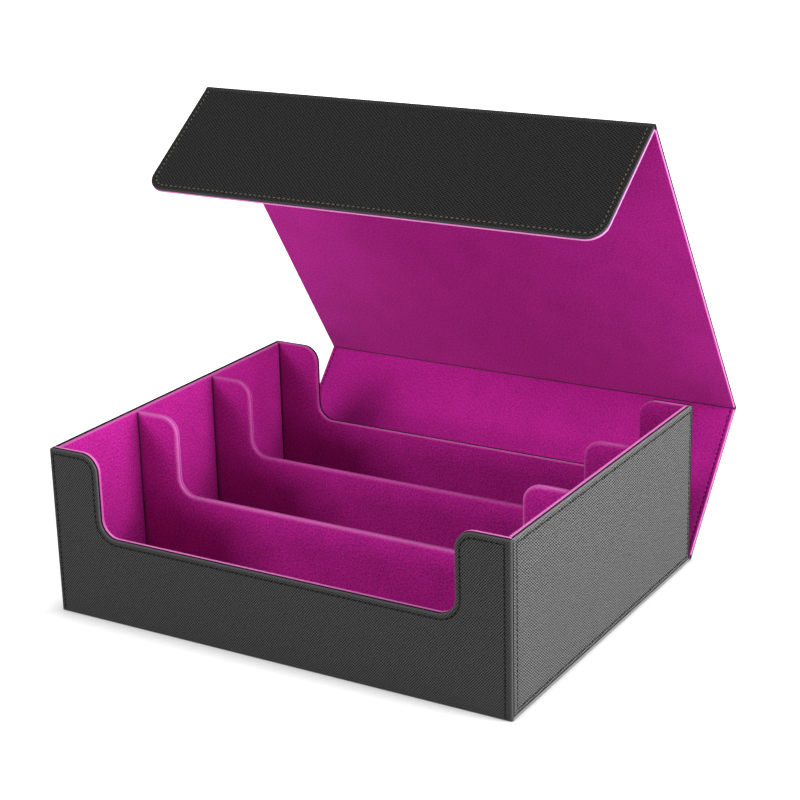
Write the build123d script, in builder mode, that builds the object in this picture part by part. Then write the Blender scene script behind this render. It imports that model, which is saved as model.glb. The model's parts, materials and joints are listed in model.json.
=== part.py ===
from build123d import *
import os
from math import cos, radians, sin

# Card storage box: three open rows under a folding cover with a front flap. Millimetres, +Z up.
# The origin lies on the table under the middle of the tray, and the tray's front faces -Y.
# The cover is one strip of panels that folds at three leather hinges: behind the tray, at the
# lid's rear edge and at the lid's front edge. It is drawn open, at the lean and folds below.

# ---- Driving dimensions: tray ------------------------------------------------------------------
TRAY_WIDTH = 305.0          # over the leather, along X
TRAY_DEPTH = 240.0          # over the leather, along Y
RIM_HEIGHT = 104.0          # table to the top of the walls
SILL_HEIGHT = 53.5          # table to the low edge of every cut-out
EAR_WIDTH = 34.0            # what a cut-out leaves standing at each end of a wall
EAR_RADIUS = 11.0           # rounding of an ear's top corner
SILL_RADIUS = 11.0          # rounding where an ear meets the low edge
LEATHER = 0.8               # outer covering, everywhere
WALL_BOARD = 0.8            # stiff board inside each outer wall
WALL_LINER = 2.7            # suede-wrapped card inside each outer wall
LINER_RISE = 0.3            # a liner's edge stands this far beyond the leather's edge
FLOOR_BOARD = 2.0
FLOOR_LINING = 1.0
CORNER_GAP = 0.3            # open joint where a liner or divider butts against a side liner

# ---- Driving dimensions: dividers --------------------------------------------------------------
FRONT_ROW = 73.4            # clear depth of the front row
MIDDLE_ROW = 74.6           # clear depth of the middle row; the back row takes the rest
DIVIDER_BOARD = 2.4
DIVIDER_SUEDE = 0.8         # suede over each face and edge of a divider's board
DIVIDER_DROP = 1.0          # divider tops below the rim
DIVIDER_ROUND = 1.3         # soft edge of the suede

# ---- Driving dimensions: cover -----------------------------------------------------------------
COVER_BOARD = 1.6
COVER_LINING = 0.6
HINGE_BACKSET = 2.4         # rear fold line behind the tray's back
RIM_CLEARANCE = 0.5         # closed lid above the liners' rims
FLAP_REACH = 6.0            # front fold line in front of the closed tray
FLAP_LENGTH = 85.0          # fold line to the free edge
FLAP_CORNER_RADIUS = 12.0
FOLD_CLEARANCE = 0.4        # panel end to the fold's rolled core
FOLD_INSET = 0.8            # the rolled core stops this far inside the panel's sides
BACK_RISE = 48.3            # degrees from the table up to the open back panel
LID_FOLD = 75.2             # degrees from the back panel's line to the lid's line
FLAP_FOLD = 92.5            # degrees from the lid's line to the flap's line
EDGE_ROUND = 0.5            # rounding of leather and lining edges

# ---- Driving dimensions: closing magnets -------------------------------------------------------
MAGNET_DIAMETER = 12.0
MAGNET_THICKNESS = 0.8      # as thick as the front wall's board, which is punched through
MAGNET_FIT = 0.1            # radial clearance in the board's pocket
MAGNET_FROM_EDGE = 17.0     # centre to the flap's free edge

# ---- Worked out from the driving dimensions ----------------------------------------------------
SHELL = LEATHER + WALL_BOARD
WALL = SHELL + WALL_LINER
COVER_THICKNESS = LEATHER + COVER_BOARD + COVER_LINING
FLOOR_BASE = COVER_THICKNESS
LINER_BASE = FLOOR_BASE + FLOOR_BOARD
FLOOR_TOP = LINER_BASE + FLOOR_LINING
CUT_HALF = TRAY_WIDTH / 2 - EAR_WIDTH
SHELL_HALF_WIDTH = TRAY_WIDTH / 2 - SHELL
SHELL_HALF_DEPTH = TRAY_DEPTH / 2 - SHELL
INNER_HALF_WIDTH = TRAY_WIDTH / 2 - WALL
INNER_HALF_DEPTH = TRAY_DEPTH / 2 - WALL
DIVIDER = DIVIDER_BOARD + 2 * DIVIDER_SUEDE
FIRST_DIVIDER = FRONT_ROW - INNER_HALF_DEPTH
SECOND_DIVIDER = FIRST_DIVIDER + DIVIDER + MIDDLE_ROW
LINER_TOP = RIM_HEIGHT + LINER_RISE
FOLD_RADIUS = COVER_THICKNESS / 2
FOLD_GAP = FOLD_RADIUS + FOLD_CLEARANCE
BACK_LENGTH = LINER_TOP + RIM_CLEARANCE
LID_LENGTH = TRAY_DEPTH + HINGE_BACKSET + FLAP_REACH
LID_RISE = BACK_RISE + LID_FOLD
FLAP_RISE = LID_RISE + FLAP_FOLD
MAGNET_X = TRAY_WIDTH / 2 - EAR_WIDTH / 2
MAGNET_DOWN = FLAP_LENGTH - MAGNET_FROM_EDGE
MAGNET_Z = COVER_THICKNESS / 2 + BACK_LENGTH - MAGNET_DOWN


def along(start, length, rise):
    """The point at this length from start, in the side view, climbing at rise degrees."""
    return Vector(0, start.Y + length * cos(radians(rise)), start.Z + length * sin(radians(rise)))


def panel_plane(fold, rise):
    """A panel's middle plane: Y runs along the panel from its fold, Z points to the lining."""
    return Plane(origin=fold, x_dir=(1, 0, 0), z_dir=(0, -sin(radians(rise)), cos(radians(rise))))


REAR_FOLD = Vector(0, TRAY_DEPTH / 2 + HINGE_BACKSET, COVER_THICKNESS / 2)
LID_FOLD_LINE = along(REAR_FOLD, BACK_LENGTH, BACK_RISE)
FLAP_FOLD_LINE = along(LID_FOLD_LINE, LID_LENGTH, LID_RISE)

BOTTOM_PLANE = Plane(origin=(0, SHELL - TRAY_DEPTH / 2, COVER_THICKNESS / 2))
BACK_PLANE = panel_plane(REAR_FOLD, BACK_RISE)
LID_PLANE = panel_plane(LID_FOLD_LINE, LID_RISE)
FLAP_PLANE = panel_plane(FLAP_FOLD_LINE, FLAP_RISE)

# The outer face of each wall: local Y is up, and Z points away from the tray.
FRONT_FACE = Plane(origin=(0, -TRAY_DEPTH / 2, 0), x_dir=(1, 0, 0), z_dir=(0, -1, 0))
BACK_FACE = Plane(origin=(0, TRAY_DEPTH / 2, 0), x_dir=(-1, 0, 0), z_dir=(0, 1, 0))
LEFT_FACE = Plane(origin=(-TRAY_WIDTH / 2, 0, 0), x_dir=(0, -1, 0), z_dir=(-1, 0, 0))
RIGHT_FACE = Plane(origin=(TRAY_WIDTH / 2, 0, 0), x_dir=(0, 1, 0), z_dir=(1, 0, 0))

os.makedirs("parts", exist_ok=True)


def save(piece, name):
    """Labels a finished piece and writes it as its own file."""
    piece.part.label = name
    export_step(piece.part, f"parts/{name}.step")


def outer_face(piece, plane):
    """The piece's flat face that lies furthest along the plane's normal."""
    return piece.faces().sort_by(Axis(plane.origin, plane.z_dir))[-1]


# ---- Outlines drawn in the sketch that is open --------------------------------------------------
def notched_outline(sketch, half, base, top, inset=0.0):
    """A wall from base to top, with the cut-out between its ears.

    The inset draws the cut-out's edges back into the wall. A negative one grows them.
    """
    cut = CUT_HALF + inset
    sill = SILL_HEIGHT - inset
    with BuildLine() as line:
        Polyline(
            (-half, base), (half, base), (half, top), (cut, top), (cut, sill),
            (-cut, sill), (-cut, top), (-half, top), close=True,
        )
    make_face(line.edges())
    corners = sketch.vertices().filter_by(lambda v: abs(abs(v.X) - cut) < abs(inset) / 2 + 0.01)
    fillet(corners.filter_by(lambda v: v.Y > (sill + top) / 2), EAR_RADIUS - inset)
    fillet(corners.filter_by(lambda v: v.Y < (sill + top) / 2), SILL_RADIUS + inset)


def panel_outline(sketch, start, end, inset=0.0, corner=0.0):
    """A cover panel from start to end along its plane, as wide as the tray less the inset."""
    half = TRAY_WIDTH / 2 - inset
    with BuildLine() as line:
        Polyline((-half, start), (half, start), (half, end), (-half, end), close=True)
    make_face(line.edges())
    if corner > 0:
        fillet(sketch.vertices().group_by(Axis.Y)[-1], corner)


# ---- Bottom of the cover, which carries the tray ------------------------------------------------
def bottom_panel():
    """The cover's bottom: a leather pan round a board, from the front wall to the rear fold."""
    end = TRAY_DEPTH - SHELL + HINGE_BACKSET - FOLD_GAP
    underside = BOTTOM_PLANE.offset(-COVER_THICKNESS / 2)
    with BuildPart() as leather:
        with BuildSketch(underside) as outline:
            panel_outline(outline, 0, end)
        extrude(amount=COVER_THICKNESS)
        fillet(leather.faces().sort_by(Axis.Z)[0].edges().filter_by(Axis.Y), EDGE_ROUND)
        with BuildSketch(underside.offset(LEATHER)) as pocket:
            panel_outline(pocket, -LEATHER, end + LEATHER, inset=LEATHER)
        extrude(amount=COVER_THICKNESS - LEATHER, mode=Mode.SUBTRACT)
    save(leather, "cover_bottom_leather")

    with BuildPart() as board:
        with BuildSketch(underside.offset(LEATHER)) as outline:
            panel_outline(outline, 0, end, inset=LEATHER)
        extrude(amount=COVER_THICKNESS - LEATHER)
    save(board, "cover_bottom_board")


def tray_floor():
    """The tray's floor board, and the lining that lies inside the liners."""
    with BuildPart() as board:
        with BuildSketch(Plane.XY.offset(FLOOR_BASE)):
            Rectangle(2 * SHELL_HALF_WIDTH, 2 * SHELL_HALF_DEPTH)
        extrude(amount=FLOOR_BOARD)
    save(board, "floor_board")

    with BuildPart() as lining:
        with BuildSketch(Plane.XY.offset(LINER_BASE)):
            Rectangle(2 * INNER_HALF_WIDTH, 2 * INNER_HALF_DEPTH)
        extrude(amount=FLOOR_LINING)
    save(lining, "floor_lining")


# ---- Front and back walls, with their cut-outs --------------------------------------------------
def notched_wall(name, face, base, board_base, magnets=False):
    """An outer wall across the tray: leather turned over a board, and the liner behind it."""
    half = TRAY_WIDTH / 2
    with BuildPart() as leather:
        with BuildSketch(face) as outline:
            notched_outline(outline, half, base, RIM_HEIGHT)
        extrude(amount=-SHELL)
        fillet(outer_face(leather, face).edges(), EDGE_ROUND)
        with BuildSketch(face.offset(-LEATHER)) as pocket:
            notched_outline(pocket, half - LEATHER, board_base, RIM_HEIGHT - LEATHER, LEATHER)
        extrude(amount=-WALL_BOARD, mode=Mode.SUBTRACT)
    save(leather, f"{name}_wall_leather")

    with BuildPart() as board:
        with BuildSketch(face.offset(-LEATHER)) as outline:
            notched_outline(outline, half - LEATHER, board_base, RIM_HEIGHT - LEATHER, LEATHER)
        extrude(amount=-WALL_BOARD)
        if magnets:
            with BuildSketch(face.offset(-LEATHER)):
                with Locations((-MAGNET_X, MAGNET_Z), (MAGNET_X, MAGNET_Z)):
                    Circle(MAGNET_DIAMETER / 2 + MAGNET_FIT)
            extrude(amount=-MAGNET_THICKNESS, mode=Mode.SUBTRACT)
    save(board, f"{name}_wall_board")

    with BuildPart() as liner:
        with BuildSketch(face.offset(-SHELL)) as outline:
            notched_outline(outline, SHELL_HALF_WIDTH, LINER_BASE, LINER_TOP, -LINER_RISE)
        extrude(amount=-WALL_LINER)
        inner = liner.faces().sort_by(Axis(face.origin, face.z_dir))[0]
        fillet(inner.edges(), EDGE_ROUND)
    save(liner, f"{name}_wall_lining")


# ---- Left and right walls -----------------------------------------------------------------------
def side_wall(name, face):
    """A side wall between the front and back walls, and its liner between their liners."""
    with BuildPart() as leather:
        with BuildSketch(face) as outline:
            with Locations((0, (FLOOR_BASE + RIM_HEIGHT) / 2)):
                Rectangle(2 * SHELL_HALF_DEPTH, RIM_HEIGHT - FLOOR_BASE)
        extrude(amount=-SHELL)
        fillet(outer_face(leather, face).edges(), EDGE_ROUND)
        with BuildSketch(face.offset(-LEATHER)):
            with Locations((0, (FLOOR_BASE + RIM_HEIGHT - LEATHER) / 2)):
                Rectangle(2 * SHELL_HALF_DEPTH, RIM_HEIGHT - LEATHER - FLOOR_BASE)
        extrude(amount=-WALL_BOARD, mode=Mode.SUBTRACT)
    save(leather, f"{name}_wall_leather")

    with BuildPart() as board:
        with BuildSketch(face.offset(-LEATHER)):
            with Locations((0, (FLOOR_BASE + RIM_HEIGHT - LEATHER) / 2)):
                Rectangle(2 * SHELL_HALF_DEPTH, RIM_HEIGHT - LEATHER - FLOOR_BASE)
        extrude(amount=-WALL_BOARD)
    save(board, f"{name}_wall_board")

    with BuildPart() as liner:
        with BuildSketch(face.offset(-SHELL)):
            with Locations((0, (LINER_BASE + LINER_TOP) / 2)):
                Rectangle(2 * (INNER_HALF_DEPTH - CORNER_GAP), LINER_TOP - LINER_BASE)
        extrude(amount=-WALL_LINER)
        inner = liner.faces().sort_by(Axis(face.origin, face.z_dir))[0]
        fillet(inner.edges(), EDGE_ROUND)
    save(liner, f"{name}_wall_lining")


# ---- Dividers between the rows ------------------------------------------------------------------
def divider(name, front):
    """A board in a suede sleeve that crosses the tray, with the same cut-out as the walls."""
    face = Plane(origin=(0, front, 0), x_dir=(1, 0, 0), z_dir=(0, -1, 0))
    half = INNER_HALF_WIDTH - CORNER_GAP
    top = RIM_HEIGHT - DIVIDER_DROP
    with BuildPart() as sleeve:
        with BuildSketch(face) as outline:
            notched_outline(outline, half, FLOOR_TOP, top)
        extrude(amount=-DIVIDER)
        rims = sleeve.edges().filter_by(
            lambda e: e.bounding_box().size.Y < DIVIDER / 2 and e.center().Z > FLOOR_TOP + DIVIDER
        )
        fillet(rims, DIVIDER_ROUND)
        with BuildSketch(face.offset(-DIVIDER_SUEDE)) as pocket:
            notched_outline(pocket, half - DIVIDER_SUEDE, FLOOR_TOP, top - DIVIDER_SUEDE, DIVIDER_SUEDE)
        extrude(amount=-DIVIDER_BOARD, mode=Mode.SUBTRACT)
    save(sleeve, f"{name}_suede")

    with BuildPart() as board:
        with BuildSketch(face.offset(-DIVIDER_SUEDE)) as outline:
            notched_outline(outline, half - DIVIDER_SUEDE, FLOOR_TOP, top - DIVIDER_SUEDE, DIVIDER_SUEDE)
        extrude(amount=-DIVIDER_BOARD)
    save(board, f"{name}_board")


# ---- Moving panels of the cover -----------------------------------------------------------------
def cover_panel(name, plane, length, free_end=False, corner=0.0, magnets=False):
    """A panel from its fold to the next fold or to its free end: leather, board and lining.

    Leather and lining each turn half-way over the board's edges, where they are sewn together.
    """
    start = FOLD_GAP
    end = length if free_end else length - FOLD_GAP
    outside = plane.offset(-COVER_THICKNESS / 2)
    inside = plane.offset(COVER_THICKNESS / 2)
    turned = LEATHER if free_end else -LEATHER
    inner_corner = max(corner - LEATHER, 0)

    with BuildPart() as leather:
        with BuildSketch(outside) as outline:
            panel_outline(outline, start, end, corner=corner)
        extrude(amount=COVER_THICKNESS / 2)
        outermost = leather.faces().sort_by(Axis(plane.origin, plane.z_dir))[0]
        fillet(outermost.edges(), EDGE_ROUND)
        with BuildSketch(outside.offset(LEATHER)) as pocket:
            panel_outline(pocket, start - LEATHER, end - turned, LEATHER, inner_corner)
        extrude(amount=COVER_THICKNESS / 2 - LEATHER, mode=Mode.SUBTRACT)
    save(leather, f"{name}_leather")

    with BuildPart() as board:
        with BuildSketch(outside.offset(LEATHER)) as outline:
            panel_outline(outline, start, end - LEATHER * free_end, LEATHER, inner_corner)
        extrude(amount=COVER_BOARD)
        if magnets:
            with BuildSketch(inside.offset(-COVER_LINING)):
                with Locations((-MAGNET_X, MAGNET_DOWN), (MAGNET_X, MAGNET_DOWN)):
                    Circle(MAGNET_DIAMETER / 2 + MAGNET_FIT)
            extrude(amount=-MAGNET_THICKNESS, mode=Mode.SUBTRACT)
    save(board, f"{name}_board")

    with BuildPart() as lining:
        with BuildSketch(plane) as outline:
            panel_outline(outline, start, end, corner=corner)
        extrude(amount=COVER_THICKNESS / 2)
        fillet(outer_face(lining, plane).edges(), EDGE_ROUND)
        with BuildSketch(plane) as pocket:
            panel_outline(pocket, start - LEATHER, end - turned, LEATHER, inner_corner)
        extrude(amount=COVER_THICKNESS / 2 - COVER_LINING, mode=Mode.SUBTRACT)
    save(lining, f"{name}_lining")


def fold_roll(name, fold):
    """The rolled leather core in a fold, on the fold's own axis."""
    half = TRAY_WIDTH / 2 - FOLD_INSET
    with BuildPart() as roll:
        with BuildSketch(Plane(origin=(-half, fold.Y, fold.Z), x_dir=(0, 1, 0), z_dir=(1, 0, 0))):
            Circle(FOLD_RADIUS)
        extrude(amount=2 * half)
    save(roll, name)


# ---- Closing magnets ----------------------------------------------------------------------------
def magnet_pair(name, plane, height):
    """Two discs set into a board, one at each ear, with their outer faces on the plane."""
    with BuildPart() as pair:
        with BuildSketch(plane):
            with Locations((-MAGNET_X, height), (MAGNET_X, height)):
                Circle(MAGNET_DIAMETER / 2)
        extrude(amount=-MAGNET_THICKNESS)
    save(pair, name)


bottom_panel()
tray_floor()
# The front wall's leather comes up from the bottom in one piece; the other walls stand on it.
notched_wall("front", FRONT_FACE, base=0, board_base=LEATHER, magnets=True)
notched_wall("back", BACK_FACE, base=FLOOR_BASE, board_base=FLOOR_BASE)
side_wall("left", LEFT_FACE)
side_wall("right", RIGHT_FACE)
divider("divider_1", FIRST_DIVIDER)
divider("divider_2", SECOND_DIVIDER)
magnet_pair("front_wall_magnets", FRONT_FACE.offset(-LEATHER), MAGNET_Z)

cover_panel("cover_back", BACK_PLANE, BACK_LENGTH)
cover_panel("lid", LID_PLANE, LID_LENGTH)
cover_panel("flap", FLAP_PLANE, FLAP_LENGTH, free_end=True, corner=FLAP_CORNER_RADIUS, magnets=True)
magnet_pair("flap_magnets", FLAP_PLANE.offset(COVER_THICKNESS / 2 - COVER_LINING), MAGNET_DOWN)
fold_roll("rear_fold_core", REAR_FOLD)
fold_roll("lid_fold_core", LID_FOLD_LINE)
fold_roll("flap_fold_core", FLAP_FOLD_LINE)
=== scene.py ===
import json
from math import cos, radians, sin

import bpy
import numpy as np
from bpy.props import FloatProperty, FloatVectorProperty, PointerProperty
from mathutils import Matrix, Vector


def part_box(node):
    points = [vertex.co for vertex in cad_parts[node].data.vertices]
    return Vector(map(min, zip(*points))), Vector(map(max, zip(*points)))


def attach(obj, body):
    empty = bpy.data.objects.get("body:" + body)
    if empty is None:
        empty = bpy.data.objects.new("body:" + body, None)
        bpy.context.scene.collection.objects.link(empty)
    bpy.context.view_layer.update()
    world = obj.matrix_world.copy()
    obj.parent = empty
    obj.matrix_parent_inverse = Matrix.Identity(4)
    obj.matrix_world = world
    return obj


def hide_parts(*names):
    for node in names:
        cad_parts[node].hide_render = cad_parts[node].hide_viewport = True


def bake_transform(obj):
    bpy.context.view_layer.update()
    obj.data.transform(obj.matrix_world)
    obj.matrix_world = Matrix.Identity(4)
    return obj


# Looks for a folding card storage box: leather skins with sewn edges, suede linings, the folds'
# curved strips and the thread, all laid over the packed model of the box. Metres, +Z up.

bl_info = {
    "name": "Card Storage Box Looks",
    "version": (1, 0, 0),
    "blender": (4, 5, 0),
    "location": "3D View > Sidebar > Card Box",
    "description": "Leather, suede and stitching for a folding card storage box",
    "category": "Object",
}

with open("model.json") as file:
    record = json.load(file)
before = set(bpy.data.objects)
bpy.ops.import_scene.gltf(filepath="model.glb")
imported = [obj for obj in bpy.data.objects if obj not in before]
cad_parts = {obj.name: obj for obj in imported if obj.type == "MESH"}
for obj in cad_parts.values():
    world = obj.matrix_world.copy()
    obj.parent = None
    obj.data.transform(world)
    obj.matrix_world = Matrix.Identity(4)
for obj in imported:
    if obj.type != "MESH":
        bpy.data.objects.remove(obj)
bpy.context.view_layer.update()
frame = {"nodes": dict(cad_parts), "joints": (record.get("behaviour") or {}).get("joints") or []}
MM = 0.001

# ---- Sizes of the box, read from the frame or repeated from its source ----
WALL_LOW, WALL_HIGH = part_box("front_wall_leather")
HALF_WIDTH, RIM, FRONT_Y = WALL_HIGH[0], WALL_HIGH[2], WALL_LOW[1]
BACK_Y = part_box("back_wall_leather")[1][1]
SHELL = WALL_HIGH[1] - WALL_LOW[1]  # leather and board of a wall
LINER_LOW, LINER_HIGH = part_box("front_wall_lining")
LINER = LINER_HIGH[1] - LINER_LOW[1]
LINER_BASE, LINER_TOP = LINER_LOW[2], LINER_HIGH[2]
SIDE_END = BACK_Y - SHELL  # middle of the tray to a side wall's end
INNER_DEPTH = SIDE_END - LINER  # middle of the tray to the front and back liners' faces
INNER_HALF = HALF_WIDTH - SHELL - LINER  # middle of the tray to the side liners' faces
FLOOR_LOW, FLOOR_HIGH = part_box("floor_lining")
BOTTOM_LOW, BOTTOM_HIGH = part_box("cover_bottom_leather")
DIVIDERS = [name for name in sorted(frame["nodes"]) if name.startswith("divider") and "suede" in name]
CUT_HALF = HALF_WIDTH - 34.0 * MM  # half-width of the cut-outs between the ears
SILL = 53.5 * MM  # low edge of the cut-outs
EAR_RADIUS = 11.0 * MM  # rounding at an ear's top
SILL_RADIUS = 11.0 * MM  # rounding where an ear meets the low edge
SKIN = 0.8 * MM  # leather
EDGE_ROLL = 0.8 * MM  # rounding of the leather's edges
SOFT_ROLL = 0.6 * MM  # rounding of the cover linings' edges
FOOT_ROUND = 0.3 * MM  # rounding of the liners' corners
SUEDE = 0.6 * MM  # lining of the cover's panels
CORNER_GAP = 0.3 * MM  # open joint beside the side liners
FLAP_CORNER = 12.0 * MM  # rounding of the flap's two free corners
FOLD_GAP = 1.9 * MM  # panel end to the fold's axis
HALF_COVER = 1.5 * MM  # half the cover's thickness
THICK_COVER = 2 * HALF_COVER

JOINTS = {joint["name"]: joint for joint in frame["joints"]}
FOLDS = ("rear_fold", "lid_fold", "flap_fold")
BODIES = ("tray", "cover_back", "lid", "flap")  # each fold joins one body to the next


# ---- Planes ----
class Face:
    """A flat face: right and up lie in it, right x up points out of it, and depth goes inward."""

    def __init__(self, origin, right, up):
        self.origin, self.right, self.up = (np.array(v, float) for v in (origin, right, up))
        self.inward = -np.cross(self.right, self.up)

    def place(self, flat, depth):
        """Origin + x right + y up + depth inward, for arrays of any shape."""
        sideways, upward = flat[..., 0:1] * self.right, flat[..., 1:2] * self.up
        return self.origin + sideways + upward + np.asarray(depth)[..., None] * self.inward


def fold_axis(joint):
    """The point of a fold's axis at the middle of the box."""
    return np.array([0.0, *JOINTS[joint]["pos_m"][1:]])


def rises():
    """How steeply the panel after each fold climbs, in radians: its folds' angles added up."""
    return np.cumsum([radians(-JOINTS[joint]["range_deg"][0]) for joint in FOLDS])


def panel_faces(fold, rise):
    """(outer face, lining face) of the panel that leaves a fold at this rise."""
    along, lining = (0, cos(rise), sin(rise)), np.array([0, -sin(rise), cos(rise)])
    return [Face(fold + side * HALF_COVER * lining, (side, 0, 0), along) for side in (-1, 1)]


UP = (0, 0, 1)
WALLS = {
    "front": Face((0, FRONT_Y, 0), (1, 0, 0), UP),
    "back": Face((0, BACK_Y, 0), (-1, 0, 0), UP),
    "left": Face((-HALF_WIDTH, 0, 0), (0, -1, 0), UP),
    "right": Face((HALF_WIDTH, 0, 0), (0, 1, 0), UP),
}
BOTTOM = Face((0, 0, 0), (-1, 0, 0), (0, 1, 0))


# ---- Outlines ----
ARC_STEPS = 8
STRAIGHT_STEPS = 6
SMALLEST_ARC = 0.05 * MM
HEM = 0.9 * MM  # how far the rows of an unsewn side move in freely
HEM_REST = 0.06  # share of the way that they follow past that
EXTRA_REACHED = 2.2 * MM  # inset at which a side's extra is reached in full


class Outline:
    """A right-angled outline with rounded corners, walked anticlockwise.

    sewn says, for each side from its corner to the next, whether the edge profile moves in freely
    there; on an unsewn side the rows nearly stop a hem's width in, and on a cut side they stay put.
    extra moves a side's rows further in, so its seam lies that much further from the edge.
    """

    def __init__(self, corners, radii, sewn=1, cut=0, extra=0):
        self.corners, self.radii = np.array(corners, float), np.array(radii, float)
        self.sewn, self.cut, self.extra = (np.ones(len(corners)) * value for value in (sewn, cut, extra))
        after = np.roll(self.corners, -1, axis=0)
        side = (after - self.corners) / np.linalg.norm(after - self.corners, axis=1, keepdims=True)
        self.normal = np.stack([side[:, 1], -side[:, 0]], axis=1)
        before = np.roll(self.normal, 1, axis=0)
        self.turn = np.sign(before[:, 0] * self.normal[:, 1] - before[:, 1] * self.normal[:, 0])

    def moved(self, inset):
        """How far each side moves in for this inset."""
        hemmed = min(inset, HEM) + HEM_REST * max(inset - HEM, 0)
        further = self.extra * np.clip(inset / EXTRA_REACHED, 0, 1)
        return (self.sewn * (inset + further) + (1 - self.sewn) * hemmed) * (1 - self.cut)

    def ring(self, inset):
        """The outline drawn in by inset, as (n, 2) points.

        Each corner is where its two sides cross after they move in. Its arc turns from one side's
        normal to the next about a centre one radius away, and the radius shrinks by the inset on
        an outer corner and grows by it on an inner one.
        """
        after, before = self.moved(inset), np.roll(self.moved(inset), 1)
        normal, last = self.normal, np.roll(self.normal, 1, axis=0)
        corner = self.corners - before[:, None] * last - after[:, None] * normal
        radius = self.radii - self.turn * (np.maximum(before, after) if inset > 0 else inset)
        radius = np.where(self.radii > 0, np.maximum(radius, SMALLEST_ARC), 0.0)
        centre = corner - (self.turn * radius)[:, None] * (last + normal)
        angle = np.linspace(0, np.pi / 2, ARC_STEPS + 1)
        swing = np.cos(angle)[:, None] * last[:, None] + np.sin(angle)[:, None] * normal[:, None]
        arcs = centre[:, None] + (self.turn * radius)[:, None, None] * swing
        share = np.linspace(0, 1, STRAIGHT_STEPS + 1)[1:-1]
        start, end = arcs[:, -1:], np.roll(arcs, -1, axis=0)[:, :1]
        straights = start + share[None, :, None] * (end - start)
        return np.concatenate([arcs, straights], axis=1).reshape(-1, 2)

    def sewn_mask(self):
        """1 for the ring's points on sewn sides and round corners, 0 on the other sides."""
        arcs = np.ones((len(self.corners), ARC_STEPS + 1))
        straights = np.repeat((self.sewn * (1 - self.cut))[:, None], STRAIGHT_STEPS - 1, axis=1)
        return np.concatenate([arcs, straights], axis=1).reshape(-1)


def rectangle(left, right, low, high, radius=0.6 * MM, **sides):
    """A rectangle, walked from its lower right corner."""
    corners = [(right, low), (right, high), (left, high), (left, low)]
    return Outline(corners, [radius] * 4, **sides)


def notched(half, low, high, shrink=0.0, foot=0.6 * MM, **sides):
    """A wall with the wide cut-out between two rounded ears, walked from its lower right corner."""
    cut, sill = CUT_HALF + shrink, SILL - shrink
    ear, bay = EAR_RADIUS - shrink, SILL_RADIUS + shrink
    corners = [
        (half, low), (half, high), (cut, high), (cut, sill),
        (-cut, sill), (-cut, high), (-half, high), (-half, low),
    ]
    return Outline(corners, [foot, foot, ear, bay, bay, ear, foot, foot], **sides)


# ---- Edge profiles ----
def quarter(radius, steps=5):
    """A quarter turn from flat to upright: (inset, depth) pairs from (r, 0) to (0, r)."""
    angle = np.linspace(0, np.pi / 2, steps + 1)
    return np.stack([radius * (1 - np.sin(angle)), radius * (1 - np.cos(angle))], axis=1).tolist()


def from_behind(rows, thick):
    """The same rows on the other side of a thickness, in the other order."""
    return [(inset, thick - depth) for inset, depth in rows[::-1]]


class Profile:
    """An edge in section: rows of inset and depth, with the groove's depth and the surface's run.

    along is the inset that a row would have if the surface were unrolled flat, so it is the inset
    itself on the face and goes below zero round the edge. The groove is (inset, half-width, depth)
    and falls off on both sides as half a wave of a cosine.
    """

    def __init__(self, rows, groove=None):
        self.inset, self.depth = np.array(rows, float).T
        steps = np.hypot(np.diff(self.inset), np.diff(self.depth))
        self.along = self.inset[0] - np.concatenate([[0], np.cumsum(steps)])
        self.groove = np.zeros(len(rows))
        if groove:
            away = np.clip(np.abs(self.inset - groove[0]) / groove[1], 0, 1)
            self.groove = (self.depth < 1e-6) * groove[2] * (1 + np.cos(np.pi * away)) / 2


def face_rows(rolled, groove=None):
    """Rows across the flat face: from well inside the groove to where the edge starts to roll."""
    if groove is None:
        return [(rolled + 3.0 * MM, 0), (rolled + 1.0 * MM, 0)]
    insets = [groove[0] + share * groove[1] for share in (2.5, *np.linspace(1, -1, 9))]
    return [(inset, 0) for inset in insets if inset > rolled + 0.05 * MM]


def pan_profile(thick, skin, rolled, lip_round, groove=None):
    """A skin that turns over an edge: face, roll, side to thick, lip, and back to its own inside."""
    rows = face_rows(rolled, groove) + quarter(rolled) + from_behind(quarter(lip_round, 3), thick)
    return Profile(rows + [(SKIN, thick), (SKIN, skin)], groove)


def slab_profile(thick, rolled, back_rolled):
    """A padded slab: face, rolled front edge, side, smaller rolled back edge, back."""
    rows = face_rows(rolled) + quarter(rolled) + from_behind(quarter(back_rolled, 4), thick)
    return Profile(rows + [(back_rolled + 1.0 * MM, thick)])


# ---- Meshes ----
SHARP = radians(40)


def in_scene(data):
    """A new object in the scene for a mesh, light or camera."""
    thing = bpy.data.objects.new(data.name, data)
    bpy.context.scene.collection.objects.link(thing)
    return thing


def new_piece(name, points, faces):
    """A new smooth piece from an array of points and lists of their numbers."""
    mesh = bpy.data.meshes.new(name)
    mesh.from_pydata(points.reshape(-1, 3).tolist(), [], faces)
    mesh.polygons.foreach_set("use_smooth", np.ones(len(mesh.polygons), bool))
    mesh.update()
    return in_scene(mesh)


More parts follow.
